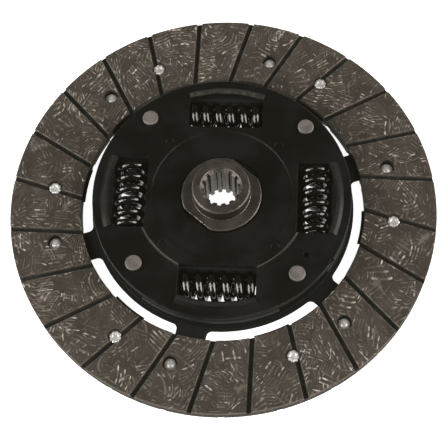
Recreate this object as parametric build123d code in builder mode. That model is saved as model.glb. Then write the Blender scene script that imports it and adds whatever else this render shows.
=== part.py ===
from build123d import *

import os
from math import acos, asin, cos, degrees, hypot, radians, sin, sqrt, tau

# Clutch disc (driven plate) with riveted friction facings and a sprung hub.
# Millimetres. The hub axis is Z and the hub nose points to +Z.
# The origin lies on the axis, midway between the two friction faces.

# ---------------------------------------------------------------- driving sizes

# Friction facings: one form, used twice, the rear one turned over.
facing_outer_radius = 114.0
facing_inner_radius = 76.0
facing_thickness = 3.2
groove_count = 24
groove_width = 2.9
groove_depth = 1.3
groove_offset = 19.6  # distance from the disc axis to each groove's centre line
groove_angle = 7.06  # direction of the first groove

# Facing rivets: six hold each facing, on one circle.
facing_rivet_inset = 15.5  # from the facing's inner edge to the rivet circle
facing_rivet_count = 6
facing_rivet_angle = 48.5
facing_rivet_step_angle = 20.0  # from a front facing rivet to the next rear facing rivet
facing_rivet_seat_thickness = 1.3  # facing left under the rolled end
facing_rivet_shank_radius = 2.05
facing_rivet_bore_radius = 1.3
facing_rivet_bore_depth = 1.3
facing_rivet_rolled_radius = 3.3
facing_rivet_rolled_height = 0.75
facing_rivet_head_radius = 3.25
facing_rivet_head_height = 1.5
facing_well_radius = 3.9

# Cushion plate: one spring steel sheet with six waved paddles on six spokes.
cushion_thickness = 0.8
cushion_wave_height = 0.6  # free travel of the waves between the facings
cushion_rim_gap = 1.5  # paddles stop this far inside the facing rim
paddle_count = 6
paddle_start_angle = 37.5
paddle_slit_width = 1.6
paddle_root_depth = 1.5  # the paddles start this far under the facing
paddle_tab_reach = 1.5  # and their tabs stand this far out of it
paddle_tab_angle = 15.0
spoke_angle = 12.6
spoke_width = 15.9
spoke_corner_radius = 3.0
spoke_lap_length = 6.0
spoke_root_gap = 1.9  # the slots between the spokes start this far outside the side plates
wave_slope_width = 4.0
wave_valley_width = 28.0
cushion_rivet_margin = 5.1  # sheet left inside the stop rivet circle

# Damper side plates: the front cover and the drive plate behind the flange.
plate_facing_gap = 7.7  # between the plates' rim and the facings' inner edge
plate_thickness = 3.0
plate_edge_radius = 0.6
plate_gap = 9.8  # between the inner faces of the two plates

# Spring windows and their bent-up lips.
spring_count = 4
spring_rim_depth = 19.1  # from the plates' rim in to the spring axes
window_angle = -7.5
window_length = 40.2
cover_window_side_gap = 0.8  # between the springs and the inner edge of the cover's windows
lip_rim_margin = 4.3  # flat sheet left outside the lips
front_lip_reach_length = 3.5
rear_lip_reach_length = 8.2
lip_rise_height = 2.15
lip_thickness = 2.6
lip_edge_radius = 0.65
lip_overlap_angle = 0.9  # the lip runs past each end of its window by this angle
lip_overlap_length = 0.1  # the lip laps this far over the cut edge of its window

# Pressed ring, dimples, gauge hole and notch of the cover.
bead_window_lead = 2.2  # the ring starts this far inside the windows
bead_width = 7.7
bead_height = 0.6
bead_slope_width = 0.5
dimple_angle = 37.5
dimple_radius = 2.2
dimple_depth = 0.6
gauge_hole_inset = 3.8  # from the stop rivet circle in to the gauge hole
gauge_hole_angle = -43.0
gauge_hole_radius = 1.6
rim_notch_angle = -38.6
rim_notch_radius = 1.6

# Stop rivets: they join the plates and stop the hub at both ends of its turn.
stop_rivet_count = 4
stop_rivet_rim_depth = 9.0  # from the plates' rim in to the rivet circle
stop_rivet_angle = 35.8
stop_rivet_shank_radius = 3.2
stop_rivet_body_radius = 4.5
stop_rivet_front_head_radius = 4.3
stop_rivet_front_head_height = 2.1
stop_rivet_rear_head_radius = 4.6
stop_rivet_rear_head_height = 1.8
stop_rivet_head_chamfer = 0.5

# Damper springs, one inside the other.
outer_spring_diameter = 17.6
outer_spring_wire_diameter = 3.7
outer_spring_pitch = 6.8
inner_spring_wire_diameter = 2.2
inner_spring_pitch = 4.4
inner_spring_clearance = 0.6
closed_turns = 0.75
spring_end_clearance = 0.1

# Hub.
hub_nose_radius = 15.2
hub_nose_length = 8.8
hub_nose_chamfer = 0.6
hub_shoulder_radius = 21.1
hub_shoulder_stand_height = 0.9  # the shoulder stands this far out of the cover
hub_shoulder_chamfer = 0.4
hub_flat_depth = 2.1
hub_flat_angle = 43.5
hub_rear_length = 0.9  # the rear end runs this far out of the drive plate
hub_rear_radius = 20.0
hub_rear_chamfer = 0.8
flange_rim_depth = 0.3  # the flange ends this far inside the plates' rim
flange_thickness = 4.4
turn_forward_angle = 11.0  # from rest to the stop rivets, one way
turn_back_angle = 8.5  # and the other way
spline_teeth = 14
spline_minor_radius = 8.9
spline_space_depth = 1.5
spline_space_root_width = 2.6
spline_space_top_width = 1.7
spline_angle = -100.0
spline_mouth_width = 2.1
spline_mouth_depth = 1.4

# Friction pack between the flange and the plates.
friction_face_width = 11.9  # the friction faces reach this far outside the hub's shoulder
friction_bore_gap = 0.5  # between the washer and the hub's shoulder
bush_wall_thickness = 1.9
pressure_ring_thickness = 0.5
pressure_ring_edge_width = 1.4  # from the washer's bore to the ring's
disc_spring_thickness = 0.5
disc_spring_edge_width = 1.0  # the disc spring stops this short of the ring's edges
disc_spring_cone_height = 0.3

# Clearances.
bearing_clearance = 0.05
rivet_clearance = 0.05
cover_bore_clearance = 0.9
spring_side_clearance = 0.4
stop_clearance = 0.3
lip_room_clearance = 1.0
cut_margin = 1.0  # cutting tools run this far past what they cut

# ---------------------------------------------------------------- derived sizes

half_gap = (cushion_thickness + cushion_wave_height) / 2
friction_face = half_gap + facing_thickness
facing_rivet_circle_radius = facing_inner_radius + facing_rivet_inset
rear_rivet_angle = facing_rivet_angle + facing_rivet_step_angle
turn_over_angle = (facing_rivet_angle + rear_rivet_angle) / 2

wave_shift = cushion_wave_height / 2
paddle_step = 360 / paddle_count
paddle_outer_radius = facing_outer_radius - cushion_rim_gap
paddle_inner_radius = facing_inner_radius + paddle_root_depth
paddle_tab_radius = facing_inner_radius - paddle_tab_reach

plate_radius = facing_inner_radius - plate_facing_gap
drive_plate_inner_face = cushion_thickness / 2 + plate_thickness
cover_inner_face = drive_plate_inner_face + plate_gap
cover_face = cover_inner_face + plate_thickness
stop_rivet_circle_radius = plate_radius - stop_rivet_rim_depth
stop_hole_radius = stop_rivet_shank_radius + rivet_clearance
spoke_root_radius = plate_radius + spoke_root_gap
cushion_bore_radius = stop_rivet_circle_radius - cushion_rivet_margin

outer_spring_radius = outer_spring_diameter / 2
inner_spring_radius = outer_spring_radius - outer_spring_wire_diameter - inner_spring_clearance
spring_length = window_length - 2 * spring_end_clearance
spring_height = (drive_plate_inner_face + cover_inner_face) / 2
spring_circle_radius = plate_radius - spring_rim_depth
cover_window_inner_edge = spring_circle_radius - outer_spring_radius - cover_window_side_gap
# The drive plate cradles the springs: its windows narrow with them towards its outer face.
cradle_radius = outer_spring_radius + spring_side_clearance
cradle_half_width = sqrt(max(cradle_radius**2 - (plate_gap / 2 + plate_thickness) ** 2, 0))
drive_window_inner_edge = spring_circle_radius - cradle_half_width

lip_base_radius = plate_radius - lip_rim_margin
lip_half_angle = degrees(asin(window_length / 2 / lip_base_radius)) + lip_overlap_angle

bead_inner_radius = cover_window_inner_edge - bead_window_lead
bead_outer_radius = bead_inner_radius + bead_width
dimple_circle_radius = (bead_inner_radius + bead_outer_radius) / 2
gauge_hole_circle_radius = stop_rivet_circle_radius - gauge_hole_inset

flange_radius = plate_radius - flange_rim_depth
flange_rear_face = spring_height - flange_thickness / 2
flange_front_face = spring_height + flange_thickness / 2
hub_shoulder_height = cover_face + hub_shoulder_stand_height
hub_nose_height = hub_shoulder_height + hub_nose_length
hub_rear_height = cushion_thickness / 2 - hub_rear_length
hub_flat_distance = hub_shoulder_radius - hub_flat_depth
spline_major_radius = spline_minor_radius + spline_space_depth
spline_mouth_radius = spline_minor_radius + spline_mouth_width

cover_bore_radius = hub_shoulder_radius + cover_bore_clearance
bush_radius = hub_rear_radius + bearing_clearance
drive_plate_bore_radius = bush_radius + bush_wall_thickness + bearing_clearance
friction_outer_radius = hub_shoulder_radius + friction_face_width
washer_bore_radius = hub_shoulder_radius + friction_bore_gap
pressure_ring_inner_radius = washer_bore_radius + pressure_ring_edge_width
disc_spring_inner_radius = pressure_ring_inner_radius + disc_spring_edge_width
disc_spring_outer_radius = friction_outer_radius - disc_spring_edge_width
ring_bottom = cover_inner_face - pressure_ring_thickness
washer_top = ring_bottom - disc_spring_thickness - disc_spring_cone_height

front_base = Plane.XY
rear_base = Plane(
    origin=(0, 0, 0),
    x_dir=(cos(radians(2 * turn_over_angle)), sin(radians(2 * turn_over_angle)), 0),
    z_dir=(0, 0, -1),
)


def radial_plane(angle: float) -> Plane:
    """A plane through the axis at the given angle: local X is outwards and local Y is +Z."""
    outwards = (cos(radians(angle)), sin(radians(angle)), 0)
    sideways = (sin(radians(angle)), -cos(radians(angle)), 0)
    return Plane(origin=(0, 0, 0), x_dir=outwards, z_dir=sideways)


def save(part: Part, name: str) -> None:
    """Labels one finished piece and writes it."""
    part.label = name
    export_step(part, f"parts/{name}.step")


os.makedirs("parts", exist_ok=True)


# ---------------------------------------------------------------- friction facings


def make_facing(base: Plane) -> Part:
    """One facing on the given base plane: a ring with slanting grooves and rivet holes."""
    outer_face = base.offset(friction_face)
    other_rivets = PolarLocations(facing_rivet_circle_radius, facing_rivet_count, rear_rivet_angle)
    own_rivets = PolarLocations(facing_rivet_circle_radius, facing_rivet_count, facing_rivet_angle)
    with BuildPart() as facing:
        with BuildSketch(base.offset(half_gap)):
            Circle(facing_outer_radius)
            Circle(facing_inner_radius, mode=Mode.SUBTRACT)
        extrude(amount=facing_thickness)

        groove_start = facing_inner_radius - groove_offset
        groove_length = facing_outer_radius + cut_margin - groove_start
        with BuildSketch(outer_face):
            with PolarLocations(0, groove_count, start_angle=groove_angle):
                with Locations((groove_start + groove_length / 2, groove_offset)):
                    Rectangle(groove_length, groove_width)
            Circle(facing_inner_radius - cut_margin, mode=Mode.SUBTRACT)
        extrude(amount=-groove_depth, mode=Mode.SUBTRACT)

        # Wells that pass right through, over the rivets of the other facing.
        with BuildSketch(outer_face):
            with other_rivets:
                Circle(facing_well_radius)
        extrude(amount=-facing_thickness, mode=Mode.SUBTRACT)

        # Counterbored holes for this facing's own rivets.
        with BuildSketch(outer_face):
            with own_rivets:
                Circle(facing_well_radius)
        extrude(amount=facing_rivet_seat_thickness - facing_thickness, mode=Mode.SUBTRACT)
        with BuildSketch(outer_face):
            with own_rivets:
                Circle(facing_rivet_shank_radius + rivet_clearance)
        extrude(amount=-facing_thickness, mode=Mode.SUBTRACT)
    return facing.part


front_facing = make_facing(front_base)
save(front_facing, "front_facing")
rear_facing = make_facing(rear_base)
save(rear_facing, "rear_facing")


# ---------------------------------------------------------------- cushion plate

# One paddle: a waved strip, cut to its outline. Its crests touch the front facing and
# its valley touches the rear one.
paddle_middle_angle = paddle_start_angle + paddle_step / 2
paddle_radial = radial_plane(paddle_middle_angle)
strip_plane = Plane(
    origin=paddle_radial.from_local_coords(Vector(paddle_tab_radius / 2, 0, 0)),
    x_dir=(-sin(radians(paddle_middle_angle)), cos(radians(paddle_middle_angle)), 0),
    z_dir=(cos(radians(paddle_middle_angle)), sin(radians(paddle_middle_angle)), 0),
)
strip_half_width = paddle_outer_radius * sin(radians(paddle_step / 2)) + cut_margin
valley_middle = facing_rivet_circle_radius * sin(
    radians(facing_rivet_angle + facing_rivet_step_angle - paddle_middle_angle)
)
wave_turns = [
    (-strip_half_width, 1),
    (valley_middle - wave_valley_width / 2 - wave_slope_width, 1),
    (valley_middle - wave_valley_width / 2, -1),
    (valley_middle + wave_valley_width / 2, -1),
    (valley_middle + wave_valley_width / 2 + wave_slope_width, 1),
    (strip_half_width, 1),
]
wave_top = [(u, side * wave_shift + cushion_thickness / 2) for u, side in wave_turns]
wave_bottom = [(u, side * wave_shift - cushion_thickness / 2) for u, side in reversed(wave_turns)]

with BuildPart() as paddle:
    with BuildSketch(strip_plane):
        with BuildLine():
            Polyline(*wave_top, *wave_bottom, close=True)
        make_face()
    extrude(amount=paddle_outer_radius)

    slit_half_angle = degrees(paddle_slit_width / 2 / facing_rivet_circle_radius)
    first_angle = paddle_start_angle + slit_half_angle
    last_angle = paddle_start_angle + paddle_step - slit_half_angle
    tab_end_angle = paddle_start_angle + paddle_tab_angle
    with BuildSketch(Plane.XY.offset(-2 * half_gap)):
        with BuildLine():
            rim = CenterArc((0, 0), paddle_outer_radius, first_angle, last_angle - first_angle)
            root = CenterArc((0, 0), paddle_inner_radius, tab_end_angle, last_angle - tab_end_angle)
            tab = CenterArc((0, 0), paddle_tab_radius, first_angle, tab_end_angle - first_angle)
            Line(rim @ 1, root @ 1)
            Line(root @ 0, tab @ 1)
            Line(tab @ 0, rim @ 0)
        make_face()
    extrude(amount=4 * half_gap, mode=Mode.INTERSECT)

with BuildPart() as cushion_plate:
    with BuildSketch(Plane.XY.offset(-cushion_thickness / 2)) as web:
        Circle(spoke_root_radius)
        spoke_length = paddle_inner_radius + spoke_lap_length - spring_circle_radius
        with PolarLocations(spring_circle_radius + spoke_length / 2, paddle_count, start_angle=spoke_angle):
            Rectangle(spoke_length, spoke_width)
        roots = web.vertices().sort_by(lambda corner: hypot(corner.X, corner.Y))[: 2 * paddle_count]
        fillet(roots, spoke_corner_radius)
        Circle(cushion_bore_radius, mode=Mode.SUBTRACT)
    extrude(amount=cushion_thickness)

    # Room for the drive plate's lips.
    lip_half_width = lip_base_radius * sin(radians(lip_half_angle))
    with BuildSketch(Plane.XY.offset(-cushion_thickness / 2)):
        with PolarLocations(lip_base_radius / 2, spring_count, start_angle=window_angle):
            Rectangle(2 * lip_base_radius, 2 * (lip_half_width + lip_room_clearance))
        Circle(lip_base_radius + lip_room_clearance, mode=Mode.INTERSECT)
    extrude(amount=cushion_thickness, mode=Mode.SUBTRACT)

    with BuildSketch(Plane.XY.offset(-cushion_thickness / 2)):
        with PolarLocations(stop_rivet_circle_radius, stop_rivet_count, start_angle=stop_rivet_angle):
            Circle(stop_hole_radius)
    extrude(amount=cushion_thickness, mode=Mode.SUBTRACT)

    with PolarLocations(0, paddle_count):
        add(paddle.part)

    # The rivet holes follow the paddles' waves.
    for hole_angle in (facing_rivet_angle, rear_rivet_angle):
        with BuildSketch(Plane.XY.offset(-2 * half_gap)):
            with PolarLocations(facing_rivet_circle_radius, facing_rivet_count, hole_angle):
                Circle(facing_rivet_shank_radius + rivet_clearance)
        extrude(amount=4 * half_gap, mode=Mode.SUBTRACT)
save(cushion_plate.part, "cushion_plate")


# ---------------------------------------------------------------- facing rivets


def make_facing_rivets(base: Plane) -> Part:
    """Six tubular rivets: a domed head on the cushion plate, a rolled end in the facing."""
    head_face = wave_shift - cushion_thickness / 2
    seat = half_gap + facing_rivet_seat_thickness
    rolled_top = seat + facing_rivet_rolled_height
    middle_radius = (facing_rivet_bore_radius + facing_rivet_rolled_radius) / 2
    with BuildPart() as rivet:
        with BuildSketch(Plane.XZ):
            with BuildLine():
                Polyline(
                    (0, head_face - facing_rivet_head_height),
                    (facing_rivet_head_radius / 2, head_face - facing_rivet_head_height),
                    (facing_rivet_head_radius, head_face - facing_rivet_head_height / 2),
                    (facing_rivet_head_radius, head_face),
                    (facing_rivet_shank_radius, head_face),
                    (facing_rivet_shank_radius, seat),
                    (facing_rivet_rolled_radius, seat),
                    (facing_rivet_rolled_radius, seat + facing_rivet_rolled_height / 3),
                    (middle_radius, rolled_top),
                    (facing_rivet_bore_radius, seat + facing_rivet_rolled_height / 2),
                    (facing_rivet_bore_radius, rolled_top - facing_rivet_bore_depth),
                    (0, rolled_top - facing_rivet_bore_depth),
                    close=True,
                )
            make_face()
        revolve(axis=Axis.Z)
    with BuildPart() as rivets:
        with Locations(base.location):
            ring = PolarLocations(facing_rivet_circle_radius, facing_rivet_count, facing_rivet_angle)
            with ring:
                add(rivet.part)
    return rivets.part


front_facing_rivets = make_facing_rivets(front_base)
save(front_facing_rivets, "front_facing_rivets")
rear_facing_rivets = make_facing_rivets(rear_base)
save(rear_facing_rivets, "rear_facing_rivets")


# ---------------------------------------------------------------- damper side plates


def make_side_plate(window_inner_edge: float, lip_reach_length: float) -> Part:
    """What both side plates share, as the front one lies: outline, windows, lips and rivet holes.

    Each lip is the edge of the sheet outside a window, bent up and inwards over the spring.
    """
    lip_slope = hypot(lip_reach_length, lip_rise_height)
    lip_sine = lip_rise_height / lip_slope
    lip_cosine = lip_reach_length / lip_slope
    lip_foot_radius = lip_base_radius - lip_thickness * (1 - lip_cosine) / lip_sine
    window_outer_edge = lip_foot_radius + lip_overlap_length
    tip_radius = lip_base_radius - lip_reach_length
    tip_height = cover_face + lip_rise_height
    with BuildPart() as window_lip:
        with BuildSketch(radial_plane(window_angle - lip_half_angle)) as lip_section:
            with BuildLine():
                Polyline(
                    (lip_base_radius + plate_thickness / 2, cover_inner_face),
                    (window_outer_edge, cover_inner_face),
                    (tip_radius - lip_thickness * lip_sine, tip_height - lip_thickness * lip_cosine),
                    (tip_radius, tip_height),
                    (lip_base_radius, cover_face),
                    (lip_base_radius + plate_thickness / 2, cover_face),
                    close=True,
                )
            make_face()
            fillet(lip_section.vertices().group_by(Axis.Z)[-1], lip_edge_radius)
        revolve(axis=Axis.Z, revolution_arc=2 * lip_half_angle)

    with BuildPart() as side_plate:
        with BuildSketch(Plane.XY.offset(cover_inner_face)):
            Circle(plate_radius)
        extrude(amount=plate_thickness)
        fillet(side_plate.edges().filter_by(GeomType.CIRCLE).group_by(Axis.Z)[-1], plate_edge_radius)

        with BuildSketch(Plane.XY.offset(cover_inner_face)):
            with PolarLocations(0, spring_count, start_angle=window_angle):
                with Locations(((window_inner_edge + plate_radius) / 2, 0)):
                    Rectangle(plate_radius - window_inner_edge, window_length)
            Circle(window_outer_edge, mode=Mode.INTERSECT)
        extrude(amount=plate_thickness, mode=Mode.SUBTRACT)

        with BuildSketch(Plane.XY.offset(cover_inner_face)):
            with PolarLocations(stop_rivet_circle_radius, stop_rivet_count, start_angle=stop_rivet_angle):
                Circle(stop_hole_radius)
        extrude(amount=plate_thickness, mode=Mode.SUBTRACT)

        with PolarLocations(0, spring_count):
            add(window_lip.part)
    return side_plate.part


# The raised ring stands only between the windows, where the sheet is whole.
with BuildPart() as bead:
    with BuildSketch(Plane.XZ):
        with BuildLine():
            Polyline(
                (bead_inner_radius - bead_slope_width, cover_face),
                (bead_inner_radius, cover_face + bead_height),
                (bead_outer_radius, cover_face + bead_height),
                (bead_outer_radius + bead_slope_width, cover_face),
                close=True,
            )
        make_face()
    revolve(axis=Axis.Z)
    with BuildSketch(Plane.XY.offset(cover_face)):
        with PolarLocations(0, spring_count, start_angle=window_angle):
            with Locations(((cover_window_inner_edge + plate_radius) / 2, 0)):
                Rectangle(plate_radius - cover_window_inner_edge, window_length)
    extrude(amount=bead_height, mode=Mode.SUBTRACT)

with BuildPart() as front_cover:
    add(make_side_plate(cover_window_inner_edge, front_lip_reach_length))
    add(bead.part)
    with BuildSketch(Plane.XY.offset(cover_inner_face)):
        Circle(cover_bore_radius)
        with PolarLocations(gauge_hole_circle_radius, 1, start_angle=gauge_hole_angle):
            Circle(gauge_hole_radius)
        with PolarLocations(plate_radius, 1, start_angle=rim_notch_angle):
            Circle(rim_notch_radius)
    extrude(amount=plate_thickness, mode=Mode.SUBTRACT)
    with BuildSketch(Plane.XY.offset(cover_face + bead_height)):
        with PolarLocations(dimple_circle_radius, spring_count, start_angle=dimple_angle):
            Circle(dimple_radius)
    extrude(amount=-dimple_depth, mode=Mode.SUBTRACT)
save(front_cover.part, "front_cover")

# The drive plate faces the cover. Its lips reach further in, the inner edges of its
# windows follow the springs, and its centre is plain.
with BuildPart() as drive_plate:
    rear_side_plate = make_side_plate(drive_window_inner_edge, rear_lip_reach_length)
    mirror(rear_side_plate, about=Plane.XY.offset(spring_height))
    for number in range(spring_count):
        cradle_angle = window_angle + 360 / spring_count * number
        cradle_middle = radial_plane(cradle_angle).from_local_coords(
            Vector(spring_circle_radius, spring_height, 0)
        )
        with BuildSketch(Plane(origin=cradle_middle, z_dir=radial_plane(cradle_angle).z_dir)):
            Circle(cradle_radius)
        extrude(amount=window_length / 2, both=True, mode=Mode.SUBTRACT)
    with BuildSketch(Plane.XY.offset(drive_plate_inner_face)):
        Circle(drive_plate_bore_radius)
    extrude(amount=-plate_thickness, mode=Mode.SUBTRACT)
save(drive_plate.part, "drive_plate")


# ---------------------------------------------------------------- stop rivets

with BuildPart() as stop_rivet:
    with BuildSketch(Plane.XZ):
        with BuildLine():
            rear_seat = -cushion_thickness / 2
            rear_top = rear_seat - stop_rivet_rear_head_height
            rear_flat_radius = stop_rivet_rear_head_radius - stop_rivet_head_chamfer
            front_top = cover_face + stop_rivet_front_head_height
            front_flat_radius = stop_rivet_front_head_radius - stop_rivet_head_chamfer
            Polyline(
                (0, rear_top),
                (rear_flat_radius, rear_top),
                (stop_rivet_rear_head_radius, rear_top + stop_rivet_head_chamfer),
                (stop_rivet_rear_head_radius, rear_seat),
                (stop_rivet_shank_radius, rear_seat),
                (stop_rivet_shank_radius, drive_plate_inner_face),
                (stop_rivet_body_radius, drive_plate_inner_face),
                (stop_rivet_body_radius, cover_inner_face),
                (stop_rivet_shank_radius, cover_inner_face),
                (stop_rivet_shank_radius, cover_face),
                (stop_rivet_front_head_radius, cover_face),
                (stop_rivet_front_head_radius, front_top - stop_rivet_head_chamfer),
                (front_flat_radius, front_top),
                (0, front_top),
                close=True,
            )
        make_face()
    revolve(axis=Axis.Z)

with BuildPart() as stop_rivets:
    with PolarLocations(stop_rivet_circle_radius, stop_rivet_count, start_angle=stop_rivet_angle):
        add(stop_rivet.part)
save(stop_rivets.part, "stop_rivets")


# ---------------------------------------------------------------- damper springs


def make_spring(
    angle: float, radius: float, wire: float, pitch: float, hand: int, sides: int, steps: int
) -> Part:
    """A coil spring with closed, ground ends, lying along the tangent at the given angle.

    The wire is a prism with `sides` sides that runs in `steps` straight lengths a turn.
    """
    outwards = Vector(cos(radians(angle)), sin(radians(angle)), 0)
    along = Vector(-sin(radians(angle)), cos(radians(angle)), 0)
    middle = outwards * spring_circle_radius + Vector(0, 0, spring_height)
    base = Plane(origin=middle - along * (spring_length / 2), x_dir=outwards, z_dir=along)

    coil_radius = radius - wire / 2
    travel = spring_length - wire / 2
    closed_rise = closed_turns * wire
    open_turns = (travel - 2 * closed_rise) / pitch
    turns = open_turns + 2 * closed_turns
    count = round(turns * steps)
    points = []
    for index in range(count + 1):
        turn = turns * index / count
        rise = wire * min(turn, closed_turns)
        rise += pitch * min(max(turn - closed_turns, 0), open_turns)
        rise += wire * max(turn - closed_turns - open_turns, 0)
        swing = hand * tau * turn
        local = Vector(coil_radius * cos(swing), coil_radius * sin(swing), rise + wire / 4)
        points.append(base.from_local_coords(local))

    with BuildPart() as spring:
        with BuildLine() as path:
            Polyline(*points)
        with BuildSketch(Plane(origin=path.line @ 0, z_dir=path.line % 0)):
            RegularPolygon(wire / 2, sides)
        sweep(path=path.line, transition=Transition.RIGHT)
        # Grinding leaves both ends flat.
        with BuildSketch(base):
            Circle(radius + wire)
        extrude(amount=spring_length, mode=Mode.INTERSECT)
    return spring.part


for number in range(spring_count):
    spring_angle = window_angle + 360 / spring_count * number
    outer_spring = make_spring(
        angle=spring_angle,
        radius=outer_spring_radius,
        wire=outer_spring_wire_diameter,
        pitch=outer_spring_pitch,
        hand=1,
        sides=6,
        steps=10,
    )
    save(outer_spring, f"outer_spring_{number + 1}")
    inner_spring = make_spring(
        angle=spring_angle,
        radius=inner_spring_radius,
        wire=inner_spring_wire_diameter,
        pitch=inner_spring_pitch,
        hand=-1,
        sides=5,
        steps=8,
    )
    save(inner_spring, f"inner_spring_{number + 1}")


# ---------------------------------------------------------------- hub

with BuildPart() as hub:
    with BuildSketch(Plane.XZ):
        with BuildLine():
            Polyline(
                (0, hub_rear_height),
                (hub_rear_radius - hub_rear_chamfer, hub_rear_height),
                (hub_rear_radius, hub_rear_height + hub_rear_chamfer),
                (hub_rear_radius, flange_rear_face),
                (flange_radius, flange_rear_face),
                (flange_radius, flange_front_face),
                (hub_shoulder_radius, flange_front_face),
                (hub_shoulder_radius, hub_shoulder_height - hub_shoulder_chamfer),
                (hub_shoulder_radius - hub_shoulder_chamfer, hub_shoulder_height),
                (hub_nose_radius, hub_shoulder_height),
                (hub_nose_radius, hub_nose_height - hub_nose_chamfer),
                (hub_nose_radius - hub_nose_chamfer, hub_nose_height),
                (0, hub_nose_height),
                close=True,
            )
        make_face()
    revolve(axis=Axis.Z)

    # Two flats on the shoulder.
    flat_depth = hub_shoulder_radius + cut_margin - hub_flat_distance
    with BuildSketch(Plane.XY.offset(flange_front_face)):
        with PolarLocations(hub_flat_distance + flat_depth / 2, 2, start_angle=hub_flat_angle):
            Rectangle(flat_depth, 2 * hub_shoulder_radius)
    extrude(amount=hub_shoulder_height - flange_front_face, mode=Mode.SUBTRACT)

    # Spring windows in the flange.
    with BuildSketch(Plane.XY.offset(flange_rear_face)):
        with PolarLocations(spring_circle_radius, spring_count, start_angle=window_angle):
            Rectangle(outer_spring_diameter + 2 * spring_side_clearance, window_length)
    extrude(amount=flange_thickness, mode=Mode.SUBTRACT)

    # Notches that let the flange turn past the stop rivets, open at the rim.
    notch_half_width = stop_rivet_body_radius + stop_clearance
    notch_floor = stop_rivet_circle_radius - notch_half_width
    notch_length = flange_radius + cut_margin - notch_floor
    with BuildSketch(Plane.XY.offset(flange_rear_face)):
        for number in range(stop_rivet_count):
            rest_angle = stop_rivet_angle + 360 / stop_rivet_count * number
            low_angle = rest_angle - turn_forward_angle
            high_angle = rest_angle + turn_back_angle
            for end_angle in (low_angle, high_angle):
                with PolarLocations(notch_floor + notch_length / 2, 1, start_angle=end_angle):
                    Rectangle(notch_length, 2 * notch_half_width)
            with BuildLine():
                floor_arc = CenterArc((0, 0), notch_floor, low_angle, high_angle - low_angle)
                mouth_radius = notch_floor + notch_length
                mouth_arc = CenterArc((0, 0), mouth_radius, low_angle, high_angle - low_angle)
                Line(floor_arc @ 0, mouth_arc @ 0)
                Line(floor_arc @ 1, mouth_arc @ 1)
            make_face()
    extrude(amount=flange_thickness, mode=Mode.SUBTRACT)

    # Splined bore with a chamfered mouth.
    space_depth = spline_space_depth + cut_margin
    flank_angle = degrees(acos((spline_space_root_width - spline_space_top_width) / 2 / space_depth))
    with BuildSketch(Plane.XY.offset(hub_rear_height)):
        Circle(spline_minor_radius)
        with PolarLocations(spline_major_radius - space_depth / 2, spline_teeth, spline_angle):
            with Locations(Location((0, 0, 0), (0, 0, -90))):
                Trapezoid(spline_space_root_width, space_depth, flank_angle)
    extrude(amount=hub_nose_height - hub_rear_height, mode=Mode.SUBTRACT)
    cone_depth = spline_mouth_depth * spline_mouth_radius / spline_mouth_width
    with BuildSketch(Plane.XZ):
        with BuildLine():
            Polyline(
                (0, hub_nose_height),
                (spline_mouth_radius, hub_nose_height),
                (0, hub_nose_height - cone_depth),
                close=True,
            )
        make_face()
    revolve(axis=Axis.Z, mode=Mode.SUBTRACT)
save(hub.part, "hub")


# ---------------------------------------------------------------- friction pack

# Bush and rear friction ring in one: it centres the hub in the drive plate.
with BuildPart() as rear_friction_ring:
    with BuildSketch(Plane.XY.offset(drive_plate_inner_face)):
        Circle(friction_outer_radius)
        Circle(bush_radius, mode=Mode.SUBTRACT)
    extrude(amount=flange_rear_face - drive_plate_inner_face)
    with BuildSketch(Plane.XY.offset(drive_plate_inner_face - plate_thickness)):
        Circle(bush_radius + bush_wall_thickness)
        Circle(bush_radius, mode=Mode.SUBTRACT)
    extrude(amount=plate_thickness)
save(rear_friction_ring.part, "rear_friction_ring")

with BuildPart() as front_friction_washer:
    with BuildSketch(Plane.XY.offset(flange_front_face)):
        Circle(friction_outer_radius)
        Circle(washer_bore_radius, mode=Mode.SUBTRACT)
    extrude(amount=washer_top - flange_front_face)
save(front_friction_washer.part, "front_friction_washer")

with BuildPart() as pressure_ring:
    with BuildSketch(Plane.XY.offset(ring_bottom)):
        Circle(friction_outer_radius)
        Circle(pressure_ring_inner_radius, mode=Mode.SUBTRACT)
    extrude(amount=pressure_ring_thickness)
save(pressure_ring.part, "pressure_ring")

# A coned washer that presses the friction faces together.
with BuildPart() as disc_spring:
    with BuildSketch(Plane.XZ):
        with BuildLine():
            Polyline(
                (disc_spring_inner_radius, washer_top),
                (disc_spring_outer_radius, washer_top + disc_spring_cone_height),
                (disc_spring_outer_radius, ring_bottom),
                (disc_spring_inner_radius, washer_top + disc_spring_thickness),
                close=True,
            )
        make_face()
    revolve(axis=Axis.Z)
save(disc_spring.part, "disc_spring")
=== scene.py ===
"""Dresses the clutch disc: finishes for its solids, wound springs and rivets, and a plain studio."""

import functools
import logging
import math
from dataclasses import dataclass, replace
from enum import Enum
from typing import NamedTuple

import bmesh
import bpy
from mathutils import Matrix, Vector


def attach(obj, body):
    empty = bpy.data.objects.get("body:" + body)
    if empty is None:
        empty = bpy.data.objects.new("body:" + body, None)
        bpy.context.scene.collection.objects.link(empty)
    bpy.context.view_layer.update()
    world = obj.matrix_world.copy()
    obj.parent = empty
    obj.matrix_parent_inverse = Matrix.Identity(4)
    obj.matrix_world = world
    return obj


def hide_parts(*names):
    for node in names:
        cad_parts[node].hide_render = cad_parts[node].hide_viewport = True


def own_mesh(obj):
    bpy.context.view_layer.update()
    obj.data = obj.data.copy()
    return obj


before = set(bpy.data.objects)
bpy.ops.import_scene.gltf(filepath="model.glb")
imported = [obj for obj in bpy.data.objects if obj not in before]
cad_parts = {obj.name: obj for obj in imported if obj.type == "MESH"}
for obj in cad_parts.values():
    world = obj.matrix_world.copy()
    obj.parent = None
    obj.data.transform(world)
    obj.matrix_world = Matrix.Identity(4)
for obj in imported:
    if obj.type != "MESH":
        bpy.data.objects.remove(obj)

LOG = logging.getLogger("clutch_disc")
MM = 0.001
FULL_TURN = math.tau
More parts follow.
